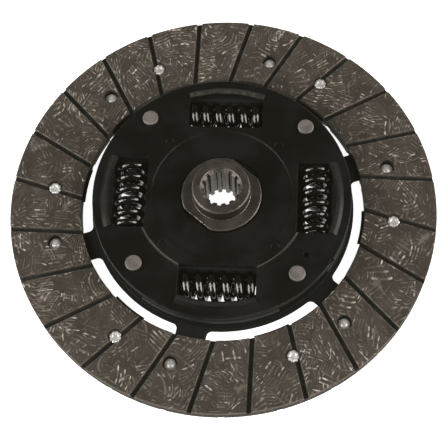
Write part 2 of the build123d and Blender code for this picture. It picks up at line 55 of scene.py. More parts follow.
TURN_OVER_ANGLE = math.radians(58.5)
ABOUT_Z = {"cent": (0.0, 0.0, 0.0), "axis": (0.0, 0.0, 1.0)}
BEYOND = 1.0  # metres: a radius or a height that no part of the disc reaches

Colour = tuple[float, float, float, float]
Ramp = tuple[float, ...]  # low, high and, if they aren't 0 and 1, the values there
Pair = tuple[float, float]
Socket = bpy.types.NodeSocket
Node = bpy.types.Node
Tree = bpy.types.NodeTree
Material = bpy.types.Material
Piece = bpy.types.Object
Shape = bmesh.types.BMesh


def linear(level: int) -> float:
    """One eight-bit display level as a linear level."""
    share = level / 255
    return share / 12.92 if share <= 0.04045 else ((share + 0.055) / 1.055) ** 2.4


def srgb(red: int, green: int, blue: int) -> Colour:
    """A colour given in display levels, as the linear levels that shaders take."""
    return (linear(red), linear(green), linear(blue), 1.0)


class Face(Enum):
    """The two sides of the disc."""

    FRONT = "front"
    REAR = "rear"


def turned_over(face: Face) -> Matrix:
    """The turn that takes a front part to the face, about an axis that lies in the disc."""
    turn = Matrix.Rotation(2 * TURN_OVER_ANGLE, 4, "Z") @ Matrix.Rotation(math.pi, 4, "X")
    return turn if face is Face.REAR else Matrix.Identity(4)


# ---- shader nodes


class Patches(NamedTuple):
    """Patches of noise: its scale and detail, and the ramp that makes a mask of it."""

    scale: float
    detail: float
    ramp: Ramp


class Graph:
    """A node tree that is being wired."""

    def __init__(self, tree: Tree) -> None:
        """Starts on the given tree."""
        self.tree = tree

    def node(self, kind: str, inputs: dict | None = None, **settings: object) -> Node:
        """Adds one node.

        Args:
            kind: Blender's type name of the node.
            inputs: socket name or index to a value or to another node's output.
            settings: the node's own properties.

        Returns:
            The new node.
        """
        node = self.tree.nodes.new(kind)
        for name, value in settings.items():
            setattr(node, name, value)
        for key, value in (inputs or {}).items():
            self.feed(node.inputs[key], value)
        return node

    def feed(self, socket: Socket, value: object) -> None:
        """Feeds one input.

        Args:
            socket: the input.
            value: the output to link to it, or its own value.
        """
        if isinstance(value, Socket):
            self.tree.links.new(value, socket)
        else:
            socket.default_value = value

    def group(self, tree: Tree, place: Socket, **inputs: object) -> Node:
        """Places a node group at a place, with its own values."""
        return self.node("ShaderNodeGroup", {"Vector": place, **inputs}, node_tree=tree)

    def math(self, operation: str, first: object, second: object = 0.0, clamp: bool = False) -> Socket:
        """The result of one sum on two values."""
        node = self.node("ShaderNodeMath", {0: first, 1: second}, operation=operation, use_clamp=clamp)
        return node.outputs[0]

    def product(self, *values: object) -> Socket:
        """The values multiplied together."""
        return functools.reduce(functools.partial(self.math, "MULTIPLY"), values)

    def largest(self, *values: object) -> Socket:
        """The largest of the values."""
        return functools.reduce(functools.partial(self.math, "MAXIMUM"), values)

    def step(
        self, value: object, low: object, high: object, out_low: float = 0.0, out_high: float = 1.0
    ) -> Socket:
        """A smooth step of the value from low to high."""
        inputs = {"Value": value, "From Min": low, "From Max": high, "To Min": out_low, "To Max": out_high}
        return self.node("ShaderNodeMapRange", inputs, interpolation_type="SMOOTHSTEP").outputs["Result"]

    def mix(self, factor: object, first: object, second: object) -> Socket:
        """The first colour, turning to the second as the factor rises."""
        node = self.node("ShaderNodeMix", {0: factor, 6: first, 7: second}, data_type="RGBA")
        return node.outputs[2]

    def noise(self, vector: Socket, scale: object, detail: float = 2.0, roughness: float = 0.5) -> Socket:
        """A noise value between 0 and 1, mostly near a half."""
        inputs = {"Vector": vector, "Scale": scale, "Detail": detail, "Roughness": roughness}
        return self.node("ShaderNodeTexNoise", inputs).outputs["Fac"]

    def patches(self, vector: Socket, patches: Patches) -> Socket:
        """A mask of patches."""
        return self.step(self.noise(vector, patches.scale, patches.detail), *patches.ramp)

    def vector(self, operation: str, first: Socket, second: object = (0.0, 0.0, 0.0)) -> Socket:
        """The result of one sum on vectors: a value for a length or a dot product, else a vector."""
        node = self.node("ShaderNodeVectorMath", {0: first, 1: second}, operation=operation)
        return node.outputs["Value" if operation in ("LENGTH", "DOT_PRODUCT") else "Vector"]

    def parts(self, vector: Socket) -> bpy.types.bpy_prop_collection:
        """A vector's X, Y and Z."""
        return self.node("ShaderNodeSeparateXYZ", {0: vector}).outputs

    def flat(self, place: Socket) -> Socket:
        """The place with its height left out."""
        return self.vector("MULTIPLY", place, (1.0, 1.0, 0.0))

    def radius(self, place: Socket) -> Socket:
        """How far the place is from the disc's axis."""
        return self.vector("LENGTH", self.flat(place))

    def levelness(self) -> Socket:
        """1 on faces that lie level, 0 on upright ones."""
        normal = self.node("ShaderNodeTexCoord").outputs["Normal"]
        return self.math("ABSOLUTE", self.parts(normal)[2])

    def rounded_normal(self, radius: object) -> Socket:
        """The normal of a surface whose edges are rounded by the radius."""
        return self.node("ShaderNodeBevel", {"Radius": radius}, samples=4).outputs["Normal"]


class EffectGraph(Graph):
    """The node tree of a shared effect, with named inputs and outputs."""

    def __init__(self, name: str, **inputs: float | None) -> None:
        """Opens the group.

        Args:
            name: the group's name.
            inputs: each input's usual value, or None for a vector.
        """
        super().__init__(bpy.data.node_groups.new(name, "ShaderNodeTree"))
        for label, usual in inputs.items():
            kind = "NodeSocketVector" if usual is None else "NodeSocketFloat"
            socket = self.tree.interface.new_socket(name=label, in_out="INPUT", socket_type=kind)
            if usual is not None:
                socket.default_value = usual
        self.given = self.node("NodeGroupInput").outputs

    def close(self, **outputs: Socket) -> Tree:
        """Gives the group its outputs.

        Args:
            outputs: each output's name and what feeds it, always a value.

        Returns:
            The group.
        """
        for label in outputs:
            self.tree.interface.new_socket(name=label, in_out="OUTPUT", socket_type="NodeSocketFloat")
        self.node("NodeGroupOutput", outputs)
        return self.tree


@dataclass(frozen=True)
class YarnShape:
    """How strokes of yarn lie: lengths are shares of the longest stroke, ramps go to Graph.step."""

    drift_scale: float = 48.0
    lane_spread: float = 7.0
    jitter: float = 0.25
    shortest_half: float = 0.22
    half_spread: float = 0.25
    end_fade: float = 0.07
    core: float = 0.9
    patch_ramp: Ramp = (0.1, 0.95, 0.12, 1.0)
    stroke_ramp: Ramp = (0.0, 0.9, 0.25, 1.0)
    fray: Patches = Patches(900.0, 1.0, (0.34, 0.6, 0.45, 1.0))
    tip_start: float = 0.3
    tip_full: float = 0.12
    glint_ramp: Ramp = (0.5, 0.75)


class EffectGroups:
    """The shared surface effects, each a node group that is built when it is first used."""

    EDGE_RAMP: Ramp = (0.01, 0.16)
    EDGE_GAPS: Ramp = (0.32, 0.62)
    PORE_SCALE = 1.7
    PORE_SHARE = 0.25
    TONE_SCALE = 0.07
    TONE_RAMP: Ramp = (0.3, 0.7)
    THREAD_GAPS = Patches(150.0, 1.0, (0.5, 0.6))
    CLOUD_RAMP: Ramp = (0.35, 0.68)
    SPECK_SCALE = 22.0
    SPECK_RAMP: Ramp = (0.6, 0.74)
    SPECK_FIELDS: Ramp = (0.4, 0.6)

    @functools.cached_property
    def edge_wear_and_highlight(self) -> Tree:
        """A mask of the outer edges of sheets and forgings, broken up by noise: partly bared metal, partly
        painted edge highlights.
        """
        graph = EffectGraph("edge wear", Vector=None, Radius=0.4 * MM, Scale=300.0, Amount=1.0)
        given = graph.given
        sharp = graph.node("ShaderNodeNewGeometry").outputs["Normal"]
        likeness = graph.vector("DOT_PRODUCT", graph.rounded_normal(given["Radius"]), sharp)
        edge = graph.step(graph.math("SUBTRACT", 1.0, likeness, clamp=True), *self.EDGE_RAMP)
        gaps = graph.step(graph.noise(given["Vector"], given["Scale"], detail=3.0), *self.EDGE_GAPS)
        worn_and_highlight = graph.product(edge, gaps)
        return graph.close(Wear=graph.math("MULTIPLY", worn_and_highlight, given["Amount"], clamp=True))

    @functools.cached_property
    def paint_skin(self) -> Tree:
        """The orange-peel skin of sprayed or dipped paint: its height and its tone."""
        graph = EffectGraph("paint skin", Vector=None, Scale=700.0)
        place, scale = graph.given["Vector"], graph.given["Scale"]
        peel = graph.noise(place, scale, detail=1.5)
        cells = {"Vector": place, "Scale": graph.product(scale, self.PORE_SCALE)}
        pores = graph.node("ShaderNodeTexVoronoi", cells, feature="F1").outputs["Distance"]
        height = graph.math("ADD", peel, graph.product(pores, self.PORE_SHARE))
        cloud = graph.noise(place, graph.product(scale, self.TONE_SCALE), detail=5.0)
        return graph.close(Height=height, Tone=graph.step(cloud, *self.TONE_RAMP))

    @functools.cached_property
    def yarn(self) -> Tree:
        """Bundles of parallel strokes of yarn that lie in patches, each patch its own way."""
        yarn = YarnShape()
        sizes = {"Pitch": 1.9 * MM, "Width": 0.85 * MM, "Length": 11.0 * MM, "Bend": 12.0 * MM}
        graph = EffectGraph("yarn bundles", Vector=None, Patch=78.0, Shift=0.0, **sizes)
        given = graph.given
        shift = graph.node("ShaderNodeCombineXYZ", {0: given["Shift"], 1: given["Shift"], 2: 0.0}).outputs[0]
        placed = graph.vector("ADD", graph.flat(given["Vector"]), shift)
        drift = graph.node(
            "ShaderNodeTexNoise", {"Vector": placed, "Scale": yarn.drift_scale, "Detail": 0.0}
        ).outputs["Color"]
        centred = graph.vector("SUBTRACT", drift, (0.5, 0.5, 0.5))
        sway = graph.node("ShaderNodeVectorMath", {0: centred, 3: given["Bend"]}, operation="SCALE")
        bent = graph.vector("ADD", placed, sway.outputs["Vector"])

        patch = graph.node("ShaderNodeTexVoronoi", {"Vector": bent, "Scale": given["Patch"]}, feature="F1")
        lots = graph.node("ShaderNodeSeparateColor", {0: patch.outputs["Color"]}).outputs
        local = graph.vector("SUBTRACT", bent, patch.outputs["Position"])
        turned = graph.node(
            "ShaderNodeVectorRotate",
            {"Vector": local, "Angle": graph.product(lots[0], FULL_TURN)},
            rotation_type="Z_AXIS",
        ).outputs[0]
        along, across, _ = graph.parts(turned)

        own_lane = graph.product(lots[1], yarn.lane_spread)
        lane = graph.math("ADD", graph.math("DIVIDE", across, given["Pitch"]), own_lane)
        row = graph.math("ROUND", lane)
        off = graph.product(graph.math("ABSOLUTE", graph.math("SUBTRACT", lane, row)), given["Pitch"])
        key = graph.node("ShaderNodeCombineXYZ", {0: row, 1: lots[0], 2: lots[2]}).outputs[0]
        dice = graph.node("ShaderNodeTexWhiteNoise", {0: key}).outputs["Color"]
        rolls = graph.node("ShaderNodeSeparateColor", {0: dice}).outputs

        jitter = graph.product(graph.math("SUBTRACT", rolls[0], 0.5), yarn.jitter)
        travel = graph.math("DIVIDE", along, given["Length"])
        reach = graph.math("ABSOLUTE", graph.math("ADD", travel, jitter))
        half_length = graph.math("ADD", graph.product(rolls[1], yarn.half_spread), yarn.shortest_half)
        body = graph.step(graph.math("SUBTRACT", half_length, reach), 0.0, yarn.end_fade)
        half_width = graph.product(given["Width"], 0.5)
        side = graph.math("DIVIDE", graph.math("SUBTRACT", half_width, off), half_width)
        core = graph.step(side, 0.0, yarn.core)
        shown = graph.product(graph.step(lots[2], *yarn.patch_ramp), graph.step(rolls[2], *yarn.stroke_ramp))
        fray = graph.patches(given["Vector"], yarn.fray)
        stroke = graph.product(graph.product(core, body), graph.product(shown, fray))
        tips = graph.step(
            reach,
            graph.math("SUBTRACT", half_length, yarn.tip_start),
            graph.math("SUBTRACT", half_length, yarn.tip_full),
        )
        glint = graph.product(stroke, tips, graph.step(rolls[0], *yarn.glint_ramp))
        return graph.close(Stroke=stroke, Glint=glint)

    @functools.cached_property
    def threads(self) -> Tree:
        """Long single threads that wander over the surface."""
        graph = EffectGraph("long threads", Vector=None, Scale=45.0, Width=0.02)
        place = graph.flat(graph.given["Vector"])
        wander = graph.noise(place, graph.given["Scale"], detail=0.0)
        apart = graph.math("ABSOLUTE", graph.math("SUBTRACT", wander, 0.5))
        line = graph.step(apart, graph.given["Width"], 0.0)
        return graph.close(Thread=graph.product(line, graph.patches(place, self.THREAD_GAPS)))

    @functools.cached_property
    def turning(self) -> Tree:
        """Fine rings left by a lathe, about the disc's axis."""
        graph = EffectGraph("turning marks", Vector=None, Scale=420.0)
        waves = {key: graph.given[key] for key in ("Vector", "Scale")}
        waves |= {"Distortion": 1.2, "Detail": 2.0, "Detail Scale": 0.4}
        rings = graph.node("ShaderNodeTexWave", waves, wave_type="RINGS", rings_direction="Z")
        return graph.close(Height=rings.outputs["Fac"])

    @functools.cached_property
    def soiling(self) -> Tree:
        """Loose dust and oily clouds: a fine mask and a broad one."""
        graph = EffectGraph("soiling", Vector=None, Scale=90.0)
        place, scale = graph.given["Vector"], graph.given["Scale"]
        broad = graph.noise(place, scale, detail=4.0)
        specks = graph.step(graph.noise(place, graph.product(scale, self.SPECK_SCALE)), *self.SPECK_RAMP)
        dust = graph.product(specks, graph.step(broad, *self.SPECK_FIELDS))
        return graph.close(Dust=dust, Cloud=graph.step(broad, *self.CLOUD_RAMP))


class Surface:
    """One material: its node graph, its shader and the place it reads."""

    def __init__(self, name: str, **shader_values: object) -> None:
        """Starts a material.

        Args:
            name: the material's name.
            shader_values: values for the shader's own sockets, with underscores for spaces.
        """
        self.material = bpy.data.materials.new(name)
        self.material.use_nodes = True
        self.graph = Graph(self.material.node_tree)
        self.shader = self.material.node_tree.nodes["Principled BSDF"]
        self.place = self.graph.node("ShaderNodeTexCoord").outputs["Object"]
        for key, value in shader_values.items():
            self.feed(key.replace("_", " "), value)

    def feed(self, name: str, value: object) -> None:
        """Feeds one of the shader's sockets."""
        self.graph.feed(self.shader.inputs[name], value)

    def relief(self, height: Socket, distance: float, strength: float = 0.5, rounding: float = 0.0) -> None:
        """Gives the surface its bumps.

        Args:
            height: the height to bump it by.
            distance: how deep a height of 1 looks, in metres.
            strength: the share of the bumps that shows.
            rounding: the radius that its edges are rounded by, in metres.
        """
        inputs = {"Height": height, "Distance": distance, "Strength": strength}
        if rounding:
            inputs["Normal"] = self.graph.rounded_normal(rounding)
        self.feed("Normal", self.graph.node("ShaderNodeBump", inputs).outputs["Normal"])


# ---- finishes


@dataclass(frozen=True)
class FrictionFacingFinish:
    """Moulded friction material with chopped yarn in it and slanting grooves.

    A bundle is the patches' scale, the strokes' pitch and width in metres, and its own shift. A band
    is where a mask starts and where it is full: beside the groove's edge, or above its floor.
    """

    face: Face
    dark: Colour = srgb(45, 39, 32)
    mid: Colour = srgb(70, 62, 54)
    yarn: Colour = srgb(137, 125, 111)
    glint: Colour = srgb(236, 226, 212)
    # painted shade: near-black groove floors; the next colour is their dust together with painted highlight
    # lines near the walls
    groove: Colour = srgb(9, 10, 7)
    groove_dust_and_highlight: Colour = srgb(78, 71, 61)
    groove_edge_highlight: Colour = srgb(126, 120, 108)
    bundles: tuple[tuple[float, float, float, float], ...] = (
        (78.0, 1.9 * MM, 1.1 * MM, 0.0),
        (92.0, 1.6 * MM, 0.9 * MM, 0.31),
        (58.0, 2.6 * MM, 1.2 * MM, 0.57),
    )
    stroke_share: float = 0.6
    glint_share: float = 0.85
    thread_share: float = 0.85
    clumps: Patches = Patches(60.0, 2.0, (0.3, 0.62, 0.35, 1.0))
    wall_ramp: Ramp = (0.25, 0.6, 0.12, 1.0)
    grain_scale: float = 1500.0
    grain_ramp: Ramp = (0.3, 0.7)
    cloud_scale: float = 130.0
    cloud_ramp: Ramp = (0.32, 0.68)
    roughness: Pair = (0.9, 0.72)
    specular: float = 0.3
    stroke_height: float = 0.8
    grain_height: float = 0.6
    relief_depth: float = 0.12 * MM
    edge_radius: float = 0.25 * MM
    face_height: float = 3.9 * MM
    # painted highlight: a light line along the top of the outer rim
    rim_radius: float = 114.0 * MM
    rim_highlight_band: Pair = (0.5 * MM, 0.15 * MM)
    rim_highlight_drop: Pair = (0.5 * MM, 0.2 * MM)
    rim_highlight_share: float = 0.5
    groove_count: int = 24
    groove_offset: float = 19.6 * MM
    groove_angle: float = 7.06
    groove_half_width: float = 1.45 * MM
    groove_floor: float = 2.6 * MM
    # painted highlights: a light line along each groove's edge and a light band on its walls, broken up in
    # patches
    highlight_breaks: Patches = Patches(260.0, 3.0, (0.42, 0.62))
    edge_highlight_band: Pair = (0.42 * MM, 0.1 * MM)
    edge_highlight_share: float = 0.55
    wall_highlight_band: Pair = (0.1 * MM, 0.02 * MM)
    wall_highlight_share: float = 0.35
    # where the groove floors take painted shade, and painted highlight lines near the walls with ragged edges
    floor_band: Pair = (0.3 * MM, 0.1 * MM)
    floor_rise: Pair = (0.35 * MM, 0.1 * MM)
    ragged: float = 0.35 * MM
    corner_highlight_ramp: Ramp = (0.8 * MM, 1.3 * MM, 0.0, 0.85)
    floor_dust_ramp: Ramp = (0.5, 0.7, 0.0, 0.2)

    def groove_distance(self, graph: Graph, place: Socket) -> Socket:
        """Measures how far each place is from the nearest groove's centre line.

        Args:
            graph: the material's graph.
            place: the place.

        Returns:
            The distance, in metres.
        """
        parts = graph.parts(place)
        radius = graph.radius(place)
        angle = graph.math("ARCTAN2", parts[1], parts[0])
        lead = graph.math("ARCSINE", graph.math("DIVIDE", self.groove_offset, radius))
        pitch = FULL_TURN / self.groove_count
        phase = graph.math("SUBTRACT", graph.math("SUBTRACT", angle, lead), math.radians(self.groove_angle))
        turns = graph.math("DIVIDE", phase, pitch)
        nearest = graph.math("SUBTRACT", turns, graph.math("ROUND", turns))
        square = graph.math("SUBTRACT", graph.product(radius, radius), self.groove_offset**2)
        slant = graph.math("SQRT", square)
        return graph.product(graph.math("ABSOLUTE", graph.product(nearest, pitch)), slant)

    @staticmethod
    def band(graph: Graph, value: Socket, origin: float, band: Pair) -> Socket:
        """A mask that starts and is full at two distances from the origin."""
        return graph.step(value, origin + band[0], origin + band[1])

    def yarn_masks(self, graph: Graph, effects: EffectGroups, place: Socket) -> tuple[Socket, Socket]:
        """Lays the yarn, which is faint on upright walls.

        Args:
            graph: the material's graph.
            effects: the shared effects.
            place: the place.

        Returns:
            The masks of the strokes and of their bright ends.
        """
        keys = ("Patch", "Pitch", "Width", "Shift")
        layers = [
            graph.group(effects.yarn, place, **dict(zip(keys, bundle))) for bundle in self.bundles
        ]
        strokes, glints = (
            graph.largest(*(layer.outputs[key] for layer in layers)) for key in ("Stroke", "Glint")
        )
        threads = graph.group(effects.threads, place).outputs["Thread"]
        strokes = graph.largest(strokes, graph.product(threads, self.thread_share))
        lying = graph.step(graph.levelness(), *self.wall_ramp)
        laid = graph.product(graph.patches(place, self.clumps), lying)
        return graph.product(strokes, laid), graph.product(glints, laid)

    def grooved(self, graph: Graph, place: Socket, colour: Socket, grain: Socket, cloud: Socket) -> Socket:
        """Adds painted highlights along the grooves' edges and on their walls, and painted shade with dust
        and painted highlight lines on their floors.

        Args:
            graph: the material's graph.
            place: the place.
            colour: the facing's colour.
            grain: fine noise.
            cloud: broad noise.

        Returns:
            The new colour.
        """
        distance = self.groove_distance(graph, place)
        # painted highlights along the groove edges and on the walls, broken up in patches
        highlight_breaks = graph.patches(place, self.highlight_breaks)
        near = self.band(graph, distance, self.groove_half_width, self.edge_highlight_band)
        colour = graph.mix(graph.product(near, highlight_breaks, self.edge_highlight_share), colour, self.groove_edge_highlight)
        wall = self.band(graph, distance, self.groove_half_width, self.wall_highlight_band)
        wall = graph.product(wall, graph.step(highlight_breaks, 0.0, 1.0, self.wall_highlight_share, 1.0))
        colour = graph.mix(wall, colour, self.yarn)
        # painted shade on the groove floors, with dust in clouds and painted highlight lines near the walls
        height = graph.math("ABSOLUTE", graph.parts(place)[2])
        inside = graph.product(
            self.band(graph, height, self.groove_floor, self.floor_rise),
            self.band(graph, distance, self.groove_half_width, self.floor_band),
        )
        wander = graph.step(grain, *self.grain_ramp, -self.ragged, self.ragged)
        corner_highlight = graph.step(graph.math("ADD", distance, wander), *self.corner_highlight_ramp)
        dust_and_highlight = graph.largest(corner_highlight, graph.step(cloud, *self.floor_dust_ramp))
        return graph.mix(inside, colour, graph.mix(dust_and_highlight, self.groove, self.groove_dust_and_highlight))

    def make(self, effects: EffectGroups) -> Material:
        """Builds the material.

        Args:
            effects: the shared effects.

        Returns:
            The material.
        """
        surface = Surface(f"friction_facing_{self.face.value}", Specular_IOR_Level=self.specular)
        graph, place = surface.graph, surface.place
        if self.face is Face.REAR:
            turn = (math.pi, 0.0, 2 * TURN_OVER_ANGLE)
            place = graph.node("ShaderNodeMapping", {"Vector": place, "Rotation": turn}).outputs[0]

        strokes, glints = self.yarn_masks(graph, effects, place)
        grain = graph.noise(place, self.grain_scale, detail=3.0, roughness=0.65)
        cloud = graph.noise(place, self.cloud_scale, detail=4.0)
        tone = graph.math(
            "ADD",
            graph.product(graph.step(cloud, *self.cloud_ramp), 0.5),
            graph.product(graph.step(grain, *self.grain_ramp), 0.5),
        )
        colour = graph.mix(tone, self.dark, self.mid)
        colour = graph.mix(graph.product(strokes, self.stroke_share), colour, self.yarn)
        colour = graph.mix(graph.product(glints, self.glint_share), colour, self.glint)
        colour = self.grooved(graph, place, colour, grain, cloud)
        # painted highlight along the top of the outer rim
        height = graph.math("ABSOLUTE", graph.parts(place)[2])
        rim_highlight = graph.product(
            graph.step(graph.radius(place), *(self.rim_radius - inset for inset in self.rim_highlight_band)),
            graph.step(height, *(self.face_height - drop for drop in self.rim_highlight_drop)),
        )
        surface.feed("Base Color", graph.mix(graph.product(rim_highlight, self.rim_highlight_share), colour, self.yarn))
        surface.feed("Roughness", graph.step(strokes, 0.0, 1.0, *self.roughness))
        relief = graph.math(
            "ADD", graph.product(strokes, self.stroke_height), graph.product(grain, self.grain_height)
        )
        surface.relief(relief, self.relief_depth, 0.6, rounding=self.edge_radius)
        return surface.material


@dataclass(frozen=True)
class BlackPaintFinish:
    """Black paint or oxide over steel, pale at its edges: partly bared metal, partly painted highlights.

    Above rub_height the lips are paler in streaks and at their edges: partly scuffing, partly a painted
    sheen and painted highlights that grow towards +Y. Beyond the lip radii they are rough.
    A painted highlight runs along ring_radius on the side towards -Y.
    """

    name: str
    bare: float = 0.0
    paint: Colour = srgb(9, 8, 6)
    faded: Colour = srgb(14, 13, 10)
    # the pale colour of dust, bared metal and scuffing, also used for painted sheen and painted highlights
    worn_and_highlight: Colour = srgb(104, 97, 85)
    gloss: Pair = (0.3, 0.46)
    specular: float = 0.22
    skin_scale: float = 620.0
    skin_depth: float = 0.05 * MM
    shear_ramp: Ramp = (0.3, 0.05)
    shear_roughness: float = 0.72
    edge_radius: float = 0.3 * MM
    soil_scale: float = 55.0
    dust: float = 0.03
    # edge marks are partly bared metal and partly painted highlights; on the lips they are stronger, painted
    # highlights at their corners
    wear_and_highlight: float = 0.2
    lip_edge_wear_and_highlight: float = 0.9
    # the lips above rub_height are paler in streaks: partly scuffing, partly a painted sheen that grows
    # towards +Y
    rub_height: float = BEYOND
    rub_rise: float = 0.6 * MM
    sheen_across: Ramp = (22.0 * MM, 48.0 * MM, 0.14, 1.0)
    streaks: Patches = Patches(380.0, 3.0, (0.35, 0.65, 0.08, 0.36))
    lip_radii: Pair = (50.0 * MM, 52.0 * MM)
    lip_roughness: float = 0.85
    # painted highlight: a light line along ring_radius, strongest towards -Y, broken up in patches
    ring_radius: float = BEYOND
    ring_highlight_ramp: Ramp = (0.4 * MM, 0.15 * MM, 0.0, 0.6)
    ring_highlight_across: Ramp = (5.0 * MM, -20.0 * MM)
    ring_highlight_gaps: Patches = Patches(90.0, 2.0, (0.35, 0.6, 0.4, 1.0))

    def make(self, effects: EffectGroups) -> Material:
        """Builds the material.

        Args:
            effects: the shared effects.

        Returns:
            The material.
        """
        surface = Surface(self.name, Specular_IOR_Level=self.specular, Metallic=self.bare)
        graph, place = surface.graph, surface.place
        skin = graph.group(effects.paint_skin, place, Scale=self.skin_scale)
        soil = graph.group(effects.soiling, place, Scale=self.soil_scale)
        wear_and_highlight = graph.group(effects.edge_wear_and_highlight, place, Radius=self.edge_radius)
        _, across, height = graph.parts(place)
        radius = graph.radius(place)

        # painted sheen: the lips are paler in streaks, most towards +Y, partly scuffing
        raised = graph.step(height, self.rub_height, self.rub_height + self.rub_rise)
        rub_and_sheen = graph.product(raised, graph.step(across, *self.sheen_across))
        # painted highlight along ring_radius on the side towards -Y
        off = graph.math("ABSOLUTE", graph.math("SUBTRACT", radius, self.ring_radius))
        ring = graph.product(graph.step(off, *self.ring_highlight_ramp), graph.step(across, *self.ring_highlight_across))
        dust_scuff_and_highlights = graph.largest(
            graph.product(soil.outputs["Dust"], self.dust),
            graph.product(rub_and_sheen, graph.patches(place, self.streaks)),
            graph.product(ring, graph.patches(place, self.ring_highlight_gaps)),
        )
        # edges: partly bared metal, partly painted highlights, strongest on the lips
        edges = graph.product(wear_and_highlight.outputs["Wear"], graph.step(rub_and_sheen, 0.0, 1.0, self.wear_and_highlight, self.lip_edge_wear_and_highlight))
        base = graph.mix(skin.outputs["Tone"], self.paint, self.faded)
        surface.feed("Base Color", graph.mix(graph.largest(dust_scuff_and_highlights, edges), base, self.worn_and_highlight))

        gloss = graph.step(soil.outputs["Cloud"], 0.0, 1.0, *self.gloss)
        sheared = graph.step(graph.levelness(), *self.shear_ramp, 0.0, self.shear_roughness)
        lips = graph.product(raised, graph.step(radius, *self.lip_radii, 0.0, self.lip_roughness))
        surface.feed("Roughness", graph.largest(gloss, sheared, lips))
        surface.relief(skin.outputs["Height"], self.skin_depth, rounding=self.edge_radius)
        return surface.material


@dataclass(frozen=True)
class BareSteelFinish:
    """Bare steel that has been turned, rolled or upset, with an oily brown cast.

    Beyond the oxide radius it keeps the black skin of its forging. Upright sides that lie outside
    the side band are shaded.
    """

    name: str
    bare: float = 1.0
    oxide_radius: float = BEYOND
    oxide_fade: float = 0.1 * MM
    oxide_roughness: float = 0.75
    oxide: Colour = srgb(15, 15, 11)
    light: Colour = srgb(150, 140, 130)
    dark: Colour = srgb(96, 88, 80)
    # pale edge colour: partly bared metal, partly painted edge highlights
    edge: Colour = srgb(225, 220, 212)
    gloss: Pair = (0.32, 0.5)
    gloss_ramp: Ramp = (0.3, 0.7)
    ring_scale: float = 420.0
    ring_depth: float = 0.02 * MM
    pit_scale: float = 1300.0
    pit_ramp: Ramp = (0.5, 0.72, 0.0, 0.4)
    pit_height: float = 1.2
    edge_radius: float = 0.3 * MM
    edge_scale: float = 200.0
    soil_scale: float = 150.0
    side_shade: float = 0.0
    side_ramp: Ramp = (0.6, 0.2)
    side_band: Pair = (12.5 * MM, 13.0 * MM)
    wear_and_highlight: float = 0.8

    def make(self, effects: EffectGroups) -> Material:
        """Builds the material.

        Args:
            effects: the shared effects.

        Returns:
            The material.
        """
        surface = Surface(self.name)
        graph, place = surface.graph, surface.place
        rings = graph.group(effects.turning, place, Scale=self.ring_scale)
        soil = graph.group(effects.soiling, place, Scale=self.soil_scale)
        wear_and_highlight = graph.group(
            effects.edge_wear_and_highlight, place, Radius=self.edge_radius, Scale=self.edge_scale, Amount=self.wear_and_highlight
        )
        pits = graph.noise(place, self.pit_scale, detail=3.0, roughness=0.6)
        radius = graph.radius(place)
        skin = graph.step(radius, self.oxide_radius - self.oxide_fade, self.oxide_radius + self.oxide_fade)
        side = graph.product(
            graph.step(graph.levelness(), *self.side_ramp, 0.0, self.side_shade),
            graph.step(radius, *self.side_band),
        )
        cast = graph.mix(soil.outputs["Cloud"], self.dark, self.light)
        cast = graph.mix(graph.step(pits, *self.pit_ramp), cast, self.dark)
        cast = graph.mix(side, cast, self.oxide)
        # edges: partly bared metal, partly painted highlights
        worn_and_highlight = graph.mix(wear_and_highlight.outputs["Wear"], cast, self.edge)
        surface.feed("Base Color", graph.mix(skin, worn_and_highlight, self.oxide))
        surface.feed("Metallic", graph.step(skin, 0.0, 1.0, self.bare, 0.0))
        gloss = graph.step(pits, *self.gloss_ramp, *self.gloss)
        surface.feed("Roughness", graph.largest(gloss, graph.product(skin, self.oxide_roughness)))
        relief = graph.math("ADD", rings.outputs["Height"], graph.product(pits, self.pit_height))
        surface.relief(relief, self.ring_depth, 0.6, rounding=self.edge_radius)
        return surface.material


@dataclass(frozen=True)
class FrictionRingFinish:
    """Dark moulded plastic of the friction rings."""

    name: str = "ring_plastic"
    dark: Colour = srgb(44, 40, 34)
    light: Colour = srgb(60, 55, 47)
    gloss: Pair = (0.5, 0.65)
    skin_scale: float = 900.0
    skin_depth: float = 0.03 * MM

    def make(self, effects: EffectGroups) -> Material:
        """Builds the material.

        Args:
            effects: the shared effects.

        Returns:
            The material.
        """
        surface = Surface(self.name)
        graph = surface.graph
        skin = graph.group(effects.paint_skin, surface.place, Scale=self.skin_scale)
        surface.feed("Base Color", graph.mix(skin.outputs["Tone"], self.dark, self.light))
        surface.feed("Roughness", graph.step(skin.outputs["Tone"], 0.0, 1.0, *self.gloss))
        surface.relief(skin.outputs["Height"], self.skin_depth)
        return surface.material


